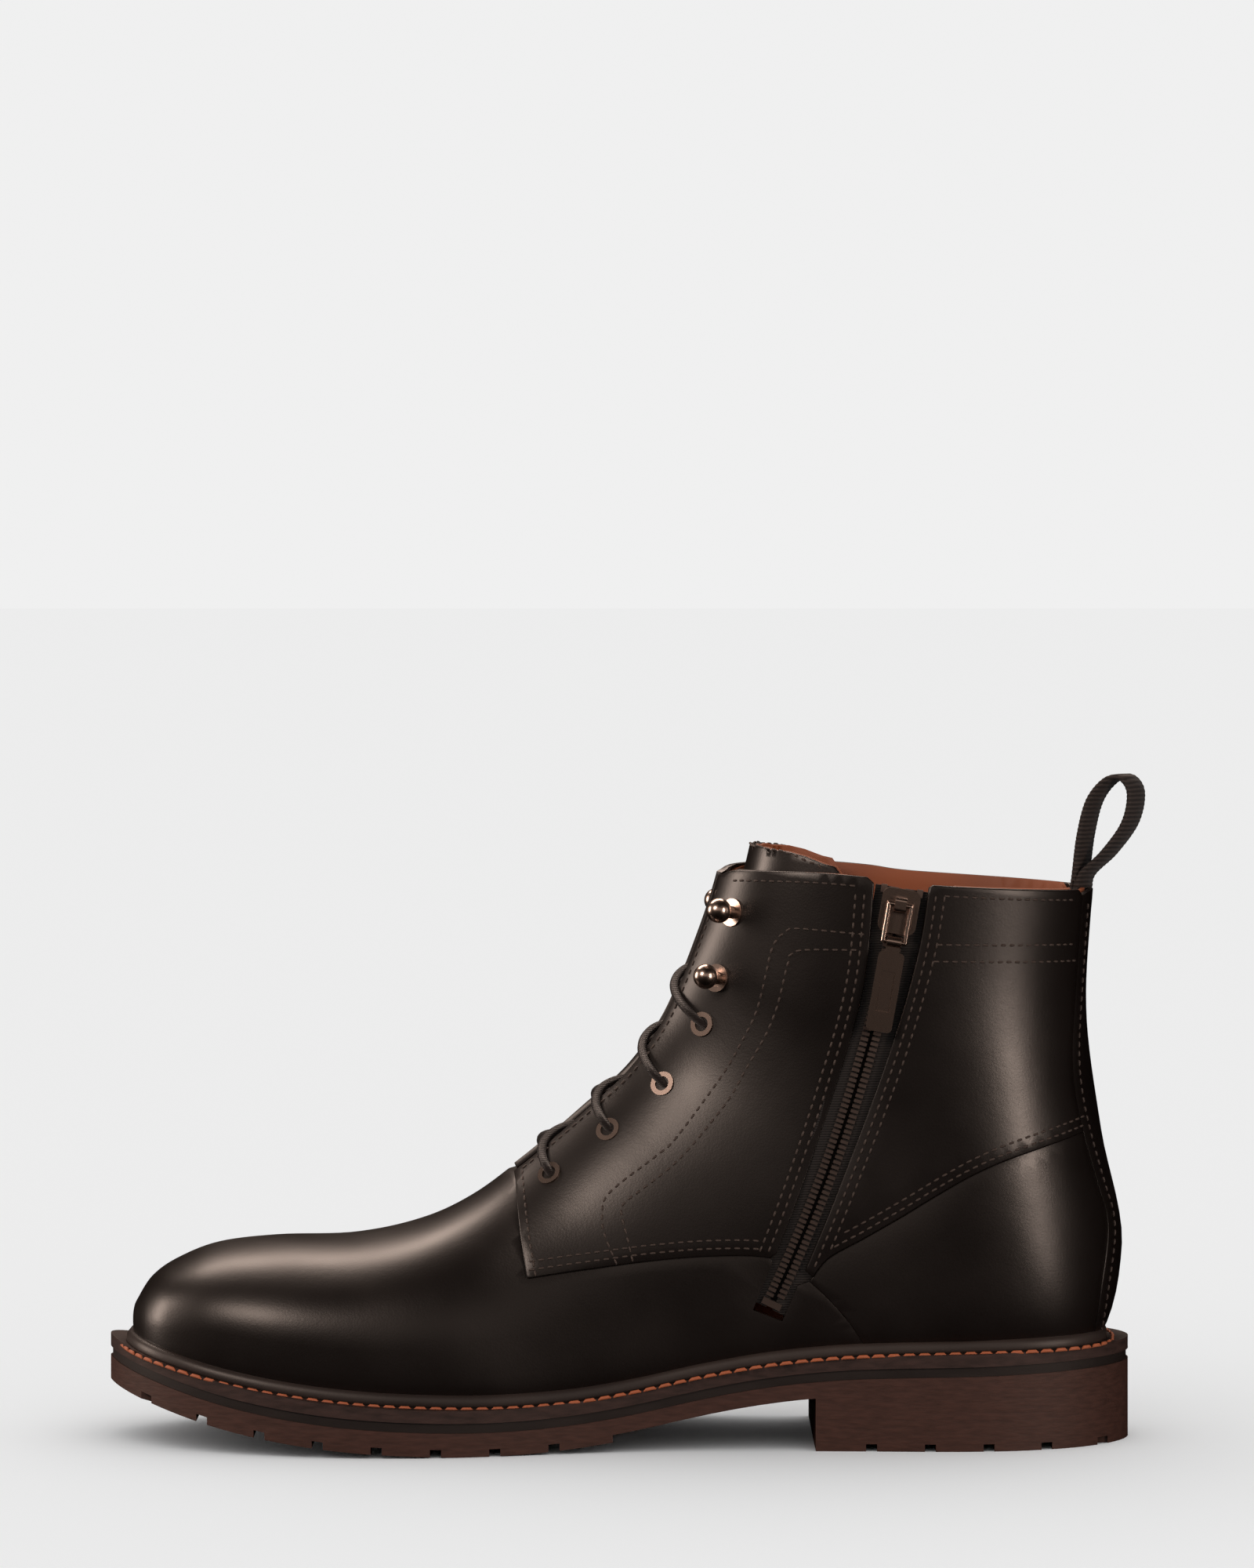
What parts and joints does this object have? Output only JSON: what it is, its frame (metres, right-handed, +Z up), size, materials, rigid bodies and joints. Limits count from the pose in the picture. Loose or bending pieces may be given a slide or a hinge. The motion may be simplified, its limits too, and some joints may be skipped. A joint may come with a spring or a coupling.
{
  "type": "lace-up ankle boot",
  "caption": "Right leather ankle boot with ball hooks, side zip, webbing pull loop, stitched welt and cleated rubber sole.",
  "frame": {"origin": "on the floor under the middle of the outsole's length and width", "axes": "+X from toe to heel, +Y from the inner (zip) side to the outer side, +Z up"},
  "size_m": [0.3144, 0.1056, 0.2002],
  "materials": {
    "upper_leather": "smooth semi-gloss",
    "lining_leather": "matt",
    "outsole_rubber": "matt, fine grain",
    "midsole_rubber": "matt",
    "welt_leather": "stitched, matt",
    "gunmetal": "polished dark plating",
    "aglet_plastic": "glossy",
    "shank_steel": "brushed",
    "lace_cord": "waxed braid",
    "webbing": "ribbed weave",
    "cork": "granular",
    "fibre_board": "pressed fibre"
  },
  "bodies": {
    "boot": {"aglets": "aglet_plastic", "back_strap": "upper_leather", "cork_filler": "cork", "counter_inner": "upper_leather", "counter_inner_lining": "lining_leather", "counter_outer": "upper_leather", "counter_outer_lining": "lining_leather", "eyelet_washers_inner": "gunmetal", "eyelet_washers_outer": "gunmetal", "eyelets_inner": "gunmetal", "eyelets_outer": "gunmetal", "facing_stay_inner": "fibre_board", "facing_stay_outer": "fibre_board", "heel_grip": "lining_leather", "heel_stiffener": "fibre_board", "hook_washers_inner": "gunmetal", "hook_washers_outer": "gunmetal", "insole_board": "fibre_board", "lace": "lace_cord", "lace_hooks_inner": "gunmetal", "lace_hooks_outer": "gunmetal", "midsole": "midsole_rubber", "outsole": "outsole_rubber", "pull_loop_tail": "webbing", "quarter_inner_front": "upper_leather", "quarter_inner_front_lining": "lining_leather", "quarter_inner_rear": "upper_leather", "quarter_inner_rear_lining": "lining_leather", "quarter_outer": "upper_leather", "quarter_outer_lining": "lining_leather", "rand": "upper_leather", "shank": "shank_steel", "sock_lining": "lining_leather", "toe_puff": "fibre_board", "vamp": "upper_leather", "vamp_lining": "lining_leather", "welt": "welt_leather", "zip_bottom_stop": "gunmetal", "zip_guard": "upper_leather", "zip_tape_front": "webbing", "zip_tape_rear": "webbing", "zip_teeth_front": "gunmetal", "zip_teeth_rear": "gunmetal", "zip_top_stops": "gunmetal"},
    "slider": {"zip_slider": "gunmetal"},
    "bail": {"slider_bail": "gunmetal"},
    "tab": {"pull_tab": "gunmetal"},
    "loop": {"pull_loop": "webbing"},
    "tongue": {"tongue": "upper_leather", "tongue_lining": "lining_leather"}
  },
  "joints": [
    {"name": "slider_travel", "type": "hinge", "parent": "boot", "child": "slider", "pos_m": [-0.36633, -0.00155, 0.2407], "axis": [0, 1, 0], "range_deg": [0, 14.2]},
    {"name": "bail_swing", "type": "hinge", "parent": "slider", "child": "bail", "pos_m": [0.08108, -0.0414, 0.16304], "axis": [-0.9845, 0, 0.1754], "range_deg": [0, 95]},
    {"name": "tab_swing", "type": "hinge", "parent": "bail", "child": "tab", "pos_m": [0.07912, -0.0414, 0.15201], "axis": [-0.9845, 0, 0.1754], "range_deg": [0, 60]},
    {"name": "loop_fold", "type": "hinge", "parent": "boot", "child": "loop", "pos_m": [0.13847, -0.00155, 0.1705], "axis": [0, 1, 0], "range_deg": [-20, 25], "stiffness_Nm_per_rad": 0.01},
    {"name": "tongue_tilt", "type": "hinge", "parent": "boot", "child": "tongue", "pos_m": [-0.02053, -0.00155, 0.066], "axis": [0, 1, 0], "range_deg": [0, 7], "stiffness_Nm_per_rad": 0.05}
  ]
}
